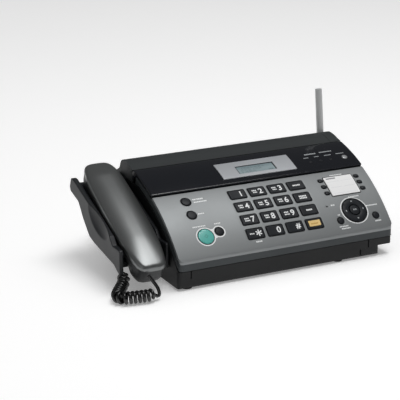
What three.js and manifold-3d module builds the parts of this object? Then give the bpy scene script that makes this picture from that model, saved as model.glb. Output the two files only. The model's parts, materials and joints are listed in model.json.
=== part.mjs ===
// Desktop fax machine with a corded handset, thermal paper roll and hinged operation panel.
// Millimetres, +Z up, front towards -Y. Origin: centre of the footprint, on the floor.
import * as THREE from 'three';
import { mergeVertices } from 'three/addons/utils/BufferGeometryUtils.js';
import Module from 'manifold-3d';

const wasm = await Module();
wasm.setup();

// ---------------------------------------------------------------- driving dimensions
const ARC_Y = 59.3, ARC_Z = -100;        // axis of the curved top (parallel to X)
const R_KEY = 206;                        // key tops
const R_PANEL = 205.2;                    // silver panel face
const R_BAND = 207.0;                     // glossy display band face
const R_COVER = 206.6;                    // rear top cover face
const R_BOARD = 200.2;                    // switch board face
const R_WALL = 195.6;                     // top edge of the cabinet side walls
const X_L = -103.5, X_R = 160.8;          // main unit, left and right
const TH_LIP = 49.6;                      // angle of the panel's front lip
const TH_SEAM = 25.9;                     // panel/band seam
const TH_HINGE = 12.6;                    // rear edge of the band
const WALL = 2.4;
const GAP = 0.35;
const CAB_FRONT = -95.5, CAB_BACK = 98.76, CAB_TOP = 87.6, CAB_BOTTOM = 2.5;
const STEP_Z = 13, X_BASE_R = 144.6;      // the foot of the cabinet is inset on the right
const KEY_W = 19.6, KEY_H = 11.7, KEY_PITCH_X = 24.4, KEY_PITCH_S = 17.55;
const KEY_X0 = -7.15, KEY_TH0 = 29.86;
const KEY_HOLE = 0.4;                     // clearance round every key
const HS_O = [-132, -23, 67.5], HS_TILT = 26.2;   // handset origin and slope
const HS_LEN = 166, HS_W = 43;
const AXIS_R = 202.5;                     // panel hinge radius
const DEG = Math.PI / 180;

// ---------------------------------------------------------------- helpers
const arc = (th, r) => [ARC_Y - r * Math.sin(th * DEG), ARC_Z + r * Math.cos(th * DEG)];
const arcPts = (t0, t1, r, n) => Array.from({ length: n + 1 }, (_, i) => arc(t0 + (t1 - t0) * i / n, r));

function shapeOf(pts) {
  const s = new THREE.Shape();
  pts.forEach((p, i) => (i ? s.lineTo(p[0], p[1]) : s.moveTo(p[0], p[1])));
  s.closePath();
  return s;
}
function orient(pts) {
  let a = 0;
  pts.forEach((p, i) => { const q = pts[(i + 1) % pts.length]; a += p[0] * q[1] - q[0] * p[1]; });
  return a < 0 ? pts.slice().reverse() : pts;
}
const extrude = (pts, d) => new THREE.ExtrudeGeometry(shapeOf(orient(pts)), { depth: d, bevelEnabled: false, curveSegments: 8 });
// (y,z) outline swept along X
function prismX(pts, x0, x1) {
  const g = extrude(pts, x1 - x0);
  g.applyMatrix4(new THREE.Matrix4().makeBasis(new THREE.Vector3(0, 1, 0), new THREE.Vector3(0, 0, 1), new THREE.Vector3(1, 0, 0)));
  g.translate(x0, 0, 0);
  return g;
}
// (x,y) outline swept along Z
function prismZ(pts, z0, z1) { const g = extrude(pts, z1 - z0); g.translate(0, 0, z0); return g; }
// (x,z) outline swept along Y
function prismY(pts, y0, y1) {
  const g = extrude(pts, y1 - y0);
  g.rotateX(Math.PI / 2); g.translate(0, y1, 0);
  return g;
}
function box(x0, x1, y0, y1, z0, z1) {
  const g = new THREE.BoxGeometry(x1 - x0, y1 - y0, z1 - z0);
  g.translate((x0 + x1) / 2, (y0 + y1) / 2, (z0 + z1) / 2);
  return g;
}
function cylX(y, z, r, x0, x1, n = 24) {
  const g = new THREE.CylinderGeometry(r, r, x1 - x0, n);
  g.rotateZ(-Math.PI / 2); g.translate((x0 + x1) / 2, y, z);
  return g;
}
function cylZ(x, y, r, z0, z1, n = 24, rt = r) {
  const g = new THREE.CylinderGeometry(rt, r, z1 - z0, n);
  g.rotateX(Math.PI / 2); g.translate(x, y, (z0 + z1) / 2);
  return g;
}
function cylY(x, z, r, y0, y1, n = 24) {
  const g = new THREE.CylinderGeometry(r, r, y1 - y0, n);
  g.translate(x, (y0 + y1) / 2, z);
  return g;
}
function roundRect(w, h, r, n = 3) {
  const p = [];
  for (const [cx, cy, a0] of [[w / 2 - r, h / 2 - r, 0], [-w / 2 + r, h / 2 - r, 90], [-w / 2 + r, -h / 2 + r, 180], [w / 2 - r, -h / 2 + r, 270]])
    for (let i = 0; i <= n; i++) { const a = (a0 + 90 * i / n) * DEG; p.push([cx + r * Math.cos(a), cy + r * Math.sin(a)]); }
  return p;
}
function toSolid(g) {
  if (!g.isBufferGeometry) return g;
  let h = g.clone();
  for (const k of Object.keys(h.attributes)) if (k !== 'position') h.deleteAttribute(k);
  h = mergeVertices(h, 1e-4);
  return new wasm.Manifold(new wasm.Mesh({ numProp: 3, vertProperties: new Float32Array(h.attributes.position.array), triVerts: new Uint32Array(h.index.array) }));
}
function toGeometry(m) {
  if (m.isBufferGeometry) return m;
  const q = m.getMesh();
  const g = new THREE.BufferGeometry();
  g.setAttribute('position', new THREE.BufferAttribute(new Float32Array(q.vertProperties), 3));
  g.setIndex(new THREE.BufferAttribute(new Uint32Array(q.triVerts), 1));
  return g;
}
const join = (...gs) => gs.map(toSolid).reduce((a, b) => a.add(b));
const cut = (g, ...cs) => cs.map(toSolid).reduce((a, b) => a.subtract(b), toSolid(g));
const meet = (g, h) => toSolid(g).intersect(toSolid(h));

// what has to go to round a vertical front corner: sx is -1 on the left, 1 on the right
function cornerCut(x, y, r, sx, z0, z1) {
  const p = [[x + sx * 6, y - 6], [x + sx * 6, y + r], [x, y + r]];
  for (let i = 1; i <= 8; i++) { const a = i / 8 * Math.PI / 2; p.push([x - sx * r + sx * r * Math.cos(a), y + r - r * Math.sin(a)]); }
  p.push([x - sx * r, y - 6]);
  return prismZ(p, z0, z1);
}

const root = new THREE.Group();
const mat = (c, r, m = 0, o = 1) => new THREE.MeshStandardMaterial({ color: c, roughness: r, metalness: m, transparent: o < 1, opacity: o });
const M = {
  silver: mat(0x8c9092, 0.42, 0.55), black: mat(0x17191b, 0.4), gloss: mat(0x0c0f13, 0.12), cover: mat(0x3a3c3d, 0.55, 0.15),
  skirt: mat(0x2c2f30, 0.5), plate: mat(0xa8aaad, 0.35, 0.6), lcd: mat(0x9fb2ad, 0.15), card: mat(0xf4f4f2, 0.6),
  key: mat(0x1d1f21, 0.45), green: mat(0x6cbcaf, 0.35), gold: mat(0xd9b565, 0.4), handset: mat(0x7d8183, 0.36, 0.55),
  cradle: mat(0x4a4c4e, 0.5, 0.2), pcb: mat(0x1f6b3a, 0.6), steel: mat(0xb5b8ba, 0.35, 0.9), rubber: mat(0x1a1a1a, 0.9),
  paper: mat(0xf2f1ec, 0.9), grey: mat(0x8d8f92, 0.4, 0.4), sensor: mat(0x26282b, 0.5), speaker: mat(0x2b2b2b, 0.8),
};
function put(name, geometry, material, parent = root) {
  const m = new THREE.Mesh(toGeometry(geometry), material);
  m.name = name; parent.add(m);
  return m;
}
// a group whose local X, Y, Z are along the machine, up the slope and out of the curved face
function onFace(x, th, r = 0) {
  const g = new THREE.Group();
  const [y, z] = arc(th, r);
  g.position.set(x, y, z); g.rotation.x = th * DEG; root.add(g);
  return g;
}
// the same placement baked into a geometry
function faceGeom(g, x, th, r) {
  const [y, z] = arc(th, r);
  const h = toGeometry(g).clone();
  h.applyMatrix4(new THREE.Matrix4().makeRotationX(th * DEG).setPosition(x, y, z));
  return h;
}

// ---------------------------------------------------------------- buttons: name, x, angle, outline, material
const rr = (w, h, r) => ({ w, h, r });
const BUTTONS = [];
for (let row = 0; row < 4; row++) for (let col = 0; col < 4; col++)
  BUTTONS.push({ n: col < 3 ? `key_${['1', '2', '3', '4', '5', '6', '7', '8', '9', 'star', '0', 'hash'][row * 3 + col]}` : `function_key_${row + 1}`,
    x: KEY_X0 + KEY_PITCH_X * col, th: KEY_TH0 + KEY_PITCH_S / R_KEY / DEG * row, s: rr(KEY_W, KEY_H, 1.3), top: R_KEY, m: row === 3 && col === 3 ? M.gold : M.key });
const round = (n, x, th, d, m, top = R_KEY) => BUTTONS.push({ n, x, th, d, m, top });
round('caller_button', -68.9, 29.65, 10.6, M.key);
round('stop_button', -69.7, 34.85, 10.4, M.key);
round('start_button', -64.1, 42.86, 17.6, M.green);
round('copy_button', -47.1, 41.86, 9.6, M.key);
round('menu_button', 99.1, 45.0, 7.6, M.key);
round('set_button', 144.5, 45.1, 7.6, M.key);
for (let i = 0; i < 3; i++) {
  BUTTONS.push({ n: `speed_dial_left_${i + 1}`, x: 98.2, th: 29.6 + 2.58 * i, s: rr(5.6, 3.8, 1.7), top: R_KEY, m: M.key });
  BUTTONS.push({ n: `speed_dial_right_${i + 1}`, x: 144.6, th: 29.7 + 2.53 * i, s: rr(5.6, 3.8, 1.7), top: R_KEY, m: M.key });
}
const NAV = { x: 120.8, th: 42.2, ro: 14.6, ri: 6.6, rc: 6.0 };
const BAND_BUTTON = { x: 146.1, th: 21.07, d: 6.6 };
const KEY_FOOT = R_BOARD + 1.0;            // key skirts stand 1 mm off the board

function outlineOf(b, grow = 0, n = 3) {
  if (b.s) return roundRect(b.s.w + 2 * grow, b.s.h + 2 * grow, b.s.r + grow, n);
  const k = 20, r = b.d / 2 + grow;
  return Array.from({ length: k }, (_, i) => [r * Math.cos(2 * Math.PI * i / k), r * Math.sin(2 * Math.PI * i / k)]);
}
for (const b of BUTTONS) {
  const g = onFace(b.x, b.th, b.top);
  const h = b.top - KEY_FOOT;
  const m = put(b.n, prismZ(outlineOf(b, 0, 2), -h, 0), b.m, g);
}
{
  const g = onFace(NAV.x, NAV.th, R_KEY);
  const ring = (r) => Array.from({ length: 28 }, (_, i) => [r * Math.cos(2 * Math.PI * i / 28), r * Math.sin(2 * Math.PI * i / 28)]);
  const h = R_KEY - KEY_FOOT;
  put('navigation_ring', cut(prismZ(ring(NAV.ro), -h, 0), prismZ(ring(NAV.ri), -h - 1, 1)), M.grey, g);
  put('navigation_centre', prismZ(outlineOf({ d: NAV.rc * 2 }), -h, 0.4), M.key, g);
}
put('band_button', prismZ(outlineOf(BAND_BUTTON), -(R_BAND + 0.6 - 204.4), 0), M.grey, onFace(BAND_BUTTON.x, BAND_BUTTON.th, R_BAND + 0.6));

// ---------------------------------------------------------------- operation panel
{
  const body = prismX([...arcPts(TH_SEAM, 48.6, R_PANEL, 12), arc(49.3, R_PANEL - 0.5), arc(TH_LIP, R_PANEL - 1.4), arc(TH_LIP, R_PANEL - 2.5),
    ...arcPts(48.8, TH_SEAM, R_PANEL - 2.5, 12)], X_L + 0.3, X_R - 0.3);
  const holes = BUTTONS.map((b) => faceGeom(prismZ(outlineOf(b, KEY_HOLE, 2), -8, 8), b.x, b.th, R_KEY));
  const r = NAV.ro + KEY_HOLE;
  holes.push(faceGeom(prismZ(Array.from({ length: 28 }, (_, i) => [r * Math.cos(2 * Math.PI * i / 28), r * Math.sin(2 * Math.PI * i / 28)]), -8, 8), NAV.x, NAV.th, R_KEY));
  put('operation_panel', cut(body, ...holes, cornerCut(X_L + 0.3, -97.0, 5.5, -1, 20, 60), cornerCut(X_R - 0.3, -97.0, 5.5, 1, 20, 60)), M.silver);
}
// dark frame under the panel: two cheeks, front skirt, rear bar
{
  const low = (r, t0, t1, n) => arcPts(t0, t1, r, n).map(([y, z]) => [y, Math.min(z, CAB_TOP + 0.6)]);
  const sector = [...arcPts(14.2, 48.6, R_PANEL - 2.8, 12), [-95.4, 30.2], [-96.9, 29.6], [-96.9, 22.1], [-94.4, 22.1], ...low(R_WALL + 0.6, 51.0, 14.2, 14)];
  const outer = prismX(sector, X_L, X_R);
  const innerPts = [...arcPts(18.5, 47.6, 215, 8), [-94.4, 30.5], [-94.4, 18], [-60, 0], [-20, 40], arc(18.5, 170)];
  const inner = prismX(innerPts, X_L + WALL, X_R - WALL);
  put('panel_frame', cut(outer, inner, cornerCut(X_L, -96.9, 6, -1, 10, 60), cornerCut(X_R, -96.9, 6, 1, 10, 60)), M.black);
}
// switch board
put('switch_board', prismX([...arcPts(20.0, 46.6, R_BOARD, 10), ...arcPts(46.6, 20.0, R_BOARD - 1.6, 10)], X_L + WALL + 0.6, X_R - WALL - 0.6), M.pcb);
// glossy band with its rounded hinge nose, hollow for the display module
const [AX_Y, AX_Z] = arc(TH_HINGE, AXIS_R);
{
  const lower = R_PANEL - 2.5;
  const sec = prismX([...arcPts(TH_HINGE, 24.9, R_BAND, 7), arc(25.35, R_BAND - 0.7), arc(25.5, R_BAND - 1.8), arc(25.5, lower), ...arcPts(24.9, TH_HINGE, lower, 7)], X_L + 0.3, X_R - 0.3);
  const nose = cylX(AX_Y, AX_Z, 4.5, X_L + 0.3, X_R - 0.3, 28);
  const well = faceGeom(box(-25.2, 25.2, -7.0, 7.0, -10, 1.4), 32.3, 20.25, R_BAND);
  const bh = faceGeom(prismZ(outlineOf({ d: BAND_BUTTON.d + 0.8 }), -12, 8), BAND_BUTTON.x, BAND_BUTTON.th, R_BAND);
  put('display_band', cut(join(sec, nose), well, bh), M.gloss);
}
// silver display surround, window and display module
{
  const t = [15.9, 23.5], w = [18.35, 22.15];
  const plate = prismX([...arcPts(t[0], t[1], R_BAND + 1.1, 5), ...arcPts(t[1], t[0], R_BAND + 0.3, 5)], -13.2, 79.0);
  const hole = prismX([...arcPts(w[0], w[1], 215, 3), ...arcPts(w[1], w[0], 190, 3)], 8.6, 56.0);
  put('display_surround', cut(plate, hole), M.plate);
  put('display_window', prismX([...arcPts(w[0] + 0.1, w[1] - 0.1, R_BAND + 0.9, 3), ...arcPts(w[1] - 0.1, w[0] + 0.1, R_BAND + 0.1, 3)], 8.95, 55.65), M.lcd);
}
put('directory_card', prismX([...arcPts(28.7, 36.1, R_PANEL + 0.9, 4), ...arcPts(36.1, 28.7, R_PANEL + 0.3, 4)], 102.9, 138.9), M.card);

// ---------------------------------------------------------------- rear top cover
const COVER_R = 147.6;                    // the cover stops here, a fixed end piece carries on
{
  const outerPts = [...arcPts(12.0, 5.0, R_COVER, 5), [44.4, 105.2], [47.2, 103.6], [49.0, 101.0], [57.0, 88.3], [16.0, 88.3]];
  const innerPts = [...arcPts(12.0, 5.4, R_COVER - WALL, 5), [43.4, 102.9], [45.4, 101.7], [46.8, 99.8], [53.6, 86.3], [14, 86.3]];
  const reach = cylX(AX_Y, AX_Z, 5.0, X_L - 5, X_R + 5, 32);
  const front = box(X_L - 5, X_R + 5, 0, 20.4, 60, 100.2);
  const slot = (() => { const g = box(-104, 104, -3.6, 3.6, -8, 8); g.rotateX(-55 * DEG); g.translate(20, 52.6, 95.2); return g; })();
  put('top_cover', cut(prismX(outerPts, X_L, COVER_R), prismX(innerPts, X_L + WALL, COVER_R - WALL), reach, front, slot), M.cover);
  put('cover_end', cut(prismX(outerPts, COVER_R + GAP, X_R), prismX(innerPts, COVER_R + GAP + WALL, X_R - WALL), reach, front,
    box(149.4, X_R + 5, 43.6, 70, 80, 120)), M.cover);
}

// ---------------------------------------------------------------- lower cabinet
{
  const side = [[-94.0, CAB_BOTTOM], [CAB_FRONT, 5.5], [CAB_FRONT - 0.6, 21.2], [-93.6, 21.2], ...arcPts(51.2, 16.6, R_WALL, 12), [5, CAB_TOP], [57.4, CAB_TOP],
    [61, 85.6], [97.2, 64.2], [CAB_BACK, 61.8], [CAB_BACK, 5], [96.8, CAB_BOTTOM]];
  const full = prismX(side, X_L - 0.5, X_R);
  const inset = box(X_BASE_R, X_R + 5, -120, 120, -5, STEP_Z);
  let outer = cut(full, inset);
  // slots that frame the front tray
  const slits = [box(-90.0, -88.6, -99, -94.6, 12.6, 30), box(128.8, 130.2, -99, -94.6, 12.6, 30)];
  const innerHi = prismX([[-93, 15.4], [-93, 130], [54.8, 130], [54.8, 84.4], [60.4, 82.8], [96.3, 61.6], [96.3, 15.4]], X_L + WALL - 0.5, X_R - WALL);
  const innerLo = box(X_L + WALL - 0.5, X_BASE_R - WALL, -93, 96.3, 5.0, 16);
  const entry = (() => { const g = box(-108, 108, -4.2, 4.2, -12, 12); g.rotateX(-30.5 * DEG); g.translate(20, 70, 80.2); return g; })();
  const jackHole = box(-92.3, -61.7, 90, 110, 9.7, 26.3);
  const powerHole = box(107.7, 130.3, 90, 110, 9.7, 26.3);
  const feet = [[-90, -86], [95, -86], [-90, 88], [128, 88]].map(([x, y]) => cylZ(x, y, 6, 0, 3.5, 16));
  // two ears that carry the antenna knuckle
  const earPts = [[46, 84], [46, 87], ...Array.from({ length: 9 }, (_, i) => { const a = (180 - 22.5 * i) * DEG; return [50.6 + 3.2 * Math.cos(a), 91 + 3.2 * Math.sin(a)]; }), [55.2, 87], [55.2, 84]];
  const ears = [prismX(earPts, 150.0, 151.9), prismX(earPts, 156.7, 158.6)];
  const bossRoot = box(149.0, X_R - 1, 45, 56, 78, 87.0);
  outer = cut(outer, innerHi, innerLo);
  outer = join(outer, bossRoot, ...ears, ...feet);
  const notch = prismY([[117.4, 0], [121.2, 0], [120.0, 11.5], [118.6, 11.5]], -99, -94.2);
  const corners = [cornerCut(X_L - 0.5, -96.1, 5.5, -1, -1, 21.3), cornerCut(X_R, -96.1, 5.5, 1, 12.9, 21.3), cornerCut(X_BASE_R, -96.1, 5.5, 1, -1, 13.05)];
  put('lower_cabinet', cut(outer, ...slits, ...corners, notch, entry, jackHole, powerHole), M.skirt);
}
// antenna, leaning back a little on its knuckle
{
  const g = new THREE.Group();
  g.position.set(154.3, 50.6, 91.0); g.rotation.x = -7 * DEG; root.add(g);
  put('antenna', join(cylX(0, 0, 2.9, -2, 2, 20), box(-2, 2, -2.2, 2.2, 0, 5.6), cylZ(0, 0, 4.2, 5.2, 7.6, 20), cylZ(0, 0, 4.15, 7.5, 64.4, 20, 4.0), cylZ(0, 0, 4.0, 64.3, 65.3, 20, 3.6)), M.grey, g);
}

// ---------------------------------------------------------------- document guides on the rear deck
for (const s of [-1, 1]) {
  const g = new THREE.Group();
  g.position.set(20 + s * 104, 84.4, 71.75); g.rotation.x = -30.5 * DEG; root.add(g);
  put(s < 0 ? 'document_guide_left' : 'document_guide_right',
    join(box(-4, 4, -9, 9, 0.55, 2.4), s < 0 ? box(-4, -2, -9, 9, 2.3, 13) : box(2, 4, -9, 9, 2.3, 13)), M.black, g);
}

// ---------------------------------------------------------------- handset cradle (left wing)
const hs = (s, h) => { const c = Math.cos(HS_TILT * DEG), n = Math.sin(HS_TILT * DEG); return [HS_O[1] + s * c - h * n, HS_O[2] + s * n + h * c]; };
{
  const WX0 = -160.8, WX1 = X_L - 0.5 - GAP;
  const outline = [[-74, 20], [-66, 23], [-58, 27.5], [-47, 29], [-8, 35], [6, 38.5], [14, 45.5], [24, 55], [31, 64], [36, 69.5], [57, 75.5],
    [59.5, 80], [55.5, 90.5], [50, 91.5], [4, 75], [-48, 55.5], [-56, 47.5], [-72, 47.5], [-74, 46]];
  const outer = prismX(outline, WX0, WX1);
  // trough for the handset, open at the front; ear-piece pocket at the back
  const trough = prismX([hs(-120, -15.2), hs(44.5, -15.2), hs(45.5, -21.2), hs(81.5, -21.2), hs(84.8, 20), hs(0, 60), hs(-120, 60)], -155.2, -108.6);
  // front lip set back for the mouthpiece
  const lip = prismX([[-80, 10], [-63.2, 10], [-63.2, 60], [-80, 60]], -156.2, -107.6);
  // finger scoop in the outer wall
  const scoop = new THREE.SphereGeometry(1, 40, 28);
  scoop.scale(12, 39.5, 23); scoop.rotateX(20.5 * DEG); scoop.translate(-168.9, -20.5, 66);
  // hollow underside
  const under = prismX([[-60.5, 0], [-60.5, 26], hs(-42, -18), hs(42, -18), hs(44, -24), [31, 59.5], [20, 48], [6, 34], [6, 0]], -155.2, WX1 - 2.4);
  const hook = faceHs(box(-6.4, 6.4, -9.4, 9.4, -30, 0), 24);
  const jack = box(-158.0, -149.0, -72, -62, 10, 33.5);
  put('handset_cradle', cut(outer, trough, lip, scoop, under, hook), M.cradle);
}
function faceHs(g, s, h = 0) {
  const [y, z] = hs(s, h);
  const k = toGeometry(g).clone();
  k.applyMatrix4(new THREE.Matrix4().makeRotationX(HS_TILT * DEG).setPosition(HS_O[0], y, z));
  return k;
}
// hook switch, held down by the resting handset
put('hook_switch', faceHs(join(box(-6, 6, -9, 9, -21.8, -14.7), box(-9.5, 9.5, -2.4, 2.4, -22.8, -21.0)), 24), M.black);

// ---------------------------------------------------------------- handset
{
  const g = new THREE.Group();
  g.position.set(...HS_O); g.rotation.x = HS_TILT * DEG; root.add(g);
  // one rounded plan outline, cut to a side profile
  const plan = (grow) => {
    const a = HS_LEN / 2 + grow, p = [];
    const W = (HS_W / 2 + grow);
    for (let i = 0; i < 40; i++) {
      const t = 2 * Math.PI * i / 40, c = Math.cos(t), s = Math.sin(t);
      const e = s < 0 ? 2.5 : 3.4;                      // blunter at the ear end
      p.push([W * Math.sign(c) * Math.abs(c) ** (2 / 5.2), a * Math.sign(s) * Math.abs(s) ** (2 / e)]);
    }
    return p;
  };
  const bow = (s) => 2.6 * (1 - (s / 83) ** 2);
  const S = Array.from({ length: 15 }, (_, i) => -84 + 12 * i);
  const block = prismZ(plan(0), -40, 20);
  // top shell: crowned across, bowed along
  const crown = (() => {
    const lanes = [-22, -19.5, -15, -8, 0, 8, 15, 19.5, 22];
    const drop = (x) => 6.2 * (1 - (Math.abs(x) / 22) ** 2.6);
    const pos = [], idx = [];
    for (const s of S) for (const x of lanes) pos.push(x, s, bow(s) + drop(x) * (1 - Math.max(0, Math.abs(s) - 58) / 26 * 0.55));
    for (const s of S) for (const x of [lanes[0], lanes.at(-1)]) pos.push(x, s, -3.0);
    const L = lanes.length, N = S.length, top = (i, j) => i * L + j, bot = (i, k) => N * L + i * 2 + k;
    for (let i = 0; i < N - 1; i++) {
      for (let j = 0; j < L - 1; j++) idx.push(top(i, j), top(i, j + 1), top(i + 1, j + 1), top(i, j), top(i + 1, j + 1), top(i + 1, j));
      idx.push(bot(i, 0), bot(i + 1, 1), bot(i, 1), bot(i, 0), bot(i + 1, 0), bot(i + 1, 1));
      idx.push(top(i, 0), top(i + 1, 0), bot(i + 1, 0), top(i, 0), bot(i + 1, 0), bot(i, 0));
      idx.push(top(i, L - 1), bot(i + 1, 1), top(i + 1, L - 1), top(i, L - 1), bot(i, 1), bot(i + 1, 1));
    }
    for (const [i, f] of [[0, 1], [N - 1, 0]]) {
      const fan = [bot(i, 0), bot(i, 1)]; for (let j = L - 1; j >= 0; j--) fan.push(top(i, j));
      for (let k = 1; k < fan.length - 1; k++) f ? idx.push(fan[0], fan[k], fan[k + 1]) : idx.push(fan[0], fan[k + 1], fan[k]);
    }
    const q = new THREE.BufferGeometry();
    q.setAttribute('position', new THREE.BufferAttribute(new Float32Array(pos), 3)); q.setIndex(idx);
    return q;
  })();
  put('handset_top_shell', meet(block, crown), M.handset, g);
  const belly = prismX([[-82, -3.35], [-83, -10], [-81, -20], [-76, -24.6], [-64, -24.6], [-60.2, -19], [-56, -14.6], [-40, -13.2], [0, -12.4], [43.5, -14.2], [47.4, -17.5], [49.2, -20.4], [78, -20.4], [82, -12], [83, -3.35]], -21, 21);
  put('handset_lower_shell', meet(prismZ(plan(-0.6), -40, 20), belly), M.cradle, g);
}

// ---------------------------------------------------------------- works inside the cabinet
const roller = (name, y, z, r, rs, x0, x1, material) =>
  put(name, join(cylX(y, z, r, x0, x1, 24), cylX(y, z, rs, X_L + WALL + 0.2, X_R - WALL - 0.7, 16)), material);
const GEAR = { n: 12, r: 6.0 };
function gear(y, z, r, x0, x1, teeth, phase = 0) {
  const p = [];
  for (let i = 0; i < teeth * 4; i++) {
    const a = 2 * Math.PI * (i + phase) / (teeth * 4), k = i % 4 < 2 ? r + 0.75 : r - 0.95;
    p.push([y + k * Math.cos(a), z + k * Math.sin(a)]);
  }
  return prismX(p, x0, x1);
}
const PLATEN = [-14, 71], FEED = [-46, 49];
put('platen_roller', join(cylX(...PLATEN, 7, -94, 136, 24), cylX(...PLATEN, 3, X_L + WALL, X_R - WALL - 0.5, 16), gear(...PLATEN, 8, 148, 153, 16)), M.rubber);
put('feed_roller', join(cylX(...FEED, 6.5, -94, 136, 24), cylX(...FEED, 3, X_L + WALL, X_R - WALL - 0.5, 16), gear(...FEED, 8, 148, 153, 16)), M.rubber);
put('paper_roll', cut(cylX(27, 44, 23, -88, 128, 32), cylX(27, 44, 6.5, -100, 140, 20)), M.paper);
put('thermal_head', box(-92, 132, -24, -4, 56, 63.5), M.steel);
put('image_sensor', box(-92, 132, -54, -38, 34, 42.1), M.sensor);
put('main_board', join(box(-96, 60, -88, -6, 8, 9.6), box(-60, -34, -70, -44, 9.5, 12), box(-20, 6, -60, -40, 9.5, 13), box(30, 44, -80, -60, 9.5, 16)), M.pcb);
put('power_board', join(box(76, 138, 52, 83, 8, 9.6), box(82, 104, 56, 78, 9.5, 20), cylZ(120, 66, 7, 9.5, 18, 16)), M.pcb);
put('drive_motor', join(cylX(-20, 36, 13, 118, 146, 24), cylX(-20, 36, 1.5, 145, 154, 12)), M.steel);
put('speaker', join(cylY(-70, 46, 17, 76, 84, 24), cylY(-70, 46, 10, 68, 77, 20)), M.speaker);
put('line_jacks', cut(box(-92, -62, 85, 98.4, 10, 26), box(-89, -78.5, 91, 101, 13, 23), box(-75.5, -65, 91, 101, 13, 23)), M.black);
put('power_inlet', cut(box(108, 130, 85, 98.4, 10, 26), box(111, 127, 90, 101, 13, 23)), M.black);

// ---------------------------------------------------------------- handset cord (coil envelope) and its plugs
{
  const tube = (pts, r, n, steps) => {
    const c = new THREE.CatmullRomCurve3(pts.map((p) => new THREE.Vector3(...p)), false, 'centripetal');
    const s = new THREE.Shape(); s.absarc(0, 0, r, 0, 2 * Math.PI, false);
    const q = [];
    for (let i = 0; i < n; i++) q.push([r * Math.cos(2 * Math.PI * i / n), r * Math.sin(2 * Math.PI * i / n)]);
    return new THREE.ExtrudeGeometry(shapeOf(q), { steps, bevelEnabled: false, extrudePath: c });
  };
  const coil = tube([[-156.5, -73.5, 13.2], [-162, -79, 9.6], [-168, -86, 8.0], [-172.5, -94.5, 7.4], [-169.5, -101.6, 7.4], [-160, -104.2, 7.4], [-148, -106, 7.4], [-137.5, -107.2, 7.4]], 6.9, 12, 40);
  const strand = tube([[-139.5, -107.2, 7.4], [-134.5, -107.2, 3.6], [-130.8, -105.6, 5.6], [-131.4, -103.8, 12.0], [-135.8, -100.6, 20.0], [-139.4, -98.4, 25.6]], 1.7, 8, 20);
  put('handset_cord', join(coil, strand), M.rubber);
}

export default root;
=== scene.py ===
import bpy, bmesh, json, math
import numpy as np
from mathutils import Matrix, Vector
from mathutils.geometry import delaunay_2d_cdt


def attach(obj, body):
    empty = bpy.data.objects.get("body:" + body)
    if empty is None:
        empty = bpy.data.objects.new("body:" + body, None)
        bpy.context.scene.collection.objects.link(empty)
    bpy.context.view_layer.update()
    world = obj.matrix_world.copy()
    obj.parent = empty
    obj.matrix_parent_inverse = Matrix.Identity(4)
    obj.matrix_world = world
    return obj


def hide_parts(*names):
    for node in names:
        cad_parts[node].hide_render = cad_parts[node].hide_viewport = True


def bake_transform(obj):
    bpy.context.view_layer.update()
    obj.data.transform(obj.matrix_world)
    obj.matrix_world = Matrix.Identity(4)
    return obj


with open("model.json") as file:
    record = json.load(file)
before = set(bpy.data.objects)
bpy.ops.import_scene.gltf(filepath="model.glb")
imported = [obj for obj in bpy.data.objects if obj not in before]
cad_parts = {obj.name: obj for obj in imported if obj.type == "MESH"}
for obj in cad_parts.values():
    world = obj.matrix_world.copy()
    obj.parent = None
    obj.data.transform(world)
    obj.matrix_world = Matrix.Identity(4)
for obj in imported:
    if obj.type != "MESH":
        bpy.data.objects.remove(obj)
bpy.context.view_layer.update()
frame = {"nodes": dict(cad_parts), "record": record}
scene = bpy.context.scene
D = math.pi / 180
K = 0.001                      # this script's own numbers are millimetres

# ------------------------------------------------------------------ camera
PSI, EL, ROLL = 26.954 * D, 18 * D, 0.147 * D
cr = np.array([math.cos(PSI), -math.sin(PSI), 0.0])
cu = np.array([math.sin(PSI) * math.sin(EL), math.cos(PSI) * math.sin(EL), math.cos(EL)])
cf = np.array([math.sin(PSI) * math.cos(EL), math.cos(PSI) * math.cos(EL), -math.sin(EL)])
c_right = math.cos(ROLL) * cr + math.sin(ROLL) * cu
c_up = -math.sin(ROLL) * cr + math.cos(ROLL) * cu
cam_data = bpy.data.cameras.new("camera")
cam_data.sensor_width, cam_data.lens = 36, 136.08
cam_data.clip_start, cam_data.clip_end = 0.05, 40
cam = bpy.data.objects.new("camera", cam_data)
scene.collection.objects.link(cam)
CAM = (-0.74946, -1.41379, 0.57809)
cam.matrix_world = Matrix([[c_right[i], c_up[i], -cf[i], CAM[i]] for i in range(3)] + [[0, 0, 0, 1]])
scene.camera = cam

# ------------------------------------------------------------------ mesh helpers
def new_obj(name, verts, faces, mats, fmat=None, sharp=32, weighted=True):
    me = bpy.data.meshes.new(name)
    me.from_pydata([tuple(float(c) * K for c in v) for v in verts], [], [tuple(int(i) for i in f) for f in faces])
    me.validate()
    for m in mats if isinstance(mats, (list, tuple)) else [mats]:
        me.materials.append(m)
    if fmat is not None:
        me.polygons.foreach_set("material_index", np.array(fmat, np.int32))
    me.polygons.foreach_set("use_smooth", [True] * len(me.polygons))
    me.set_sharp_from_angle(angle=sharp * D)
    ob = bpy.data.objects.new(name, me)
    scene.collection.objects.link(ob)
    if weighted:
        w = ob.modifiers.new("normals", "WEIGHTED_NORMAL")
        w.keep_sharp, w.weight = True, 50
    return ob


def area(p):
    x, y = p[:, 0], p[:, 1]
    return 0.5 * float(np.sum(x * np.roll(y, -1) - np.roll(x, -1) * y))


def resample(loop, step):
    p, out = np.array(loop, float), []
    for a, b in zip(p, np.roll(p, -1, 0)):
        k = max(1, math.ceil(np.linalg.norm(b - a) / step))
        out += [a + (b - a) * j / k for j in range(k)]
    return np.array(out)


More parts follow.
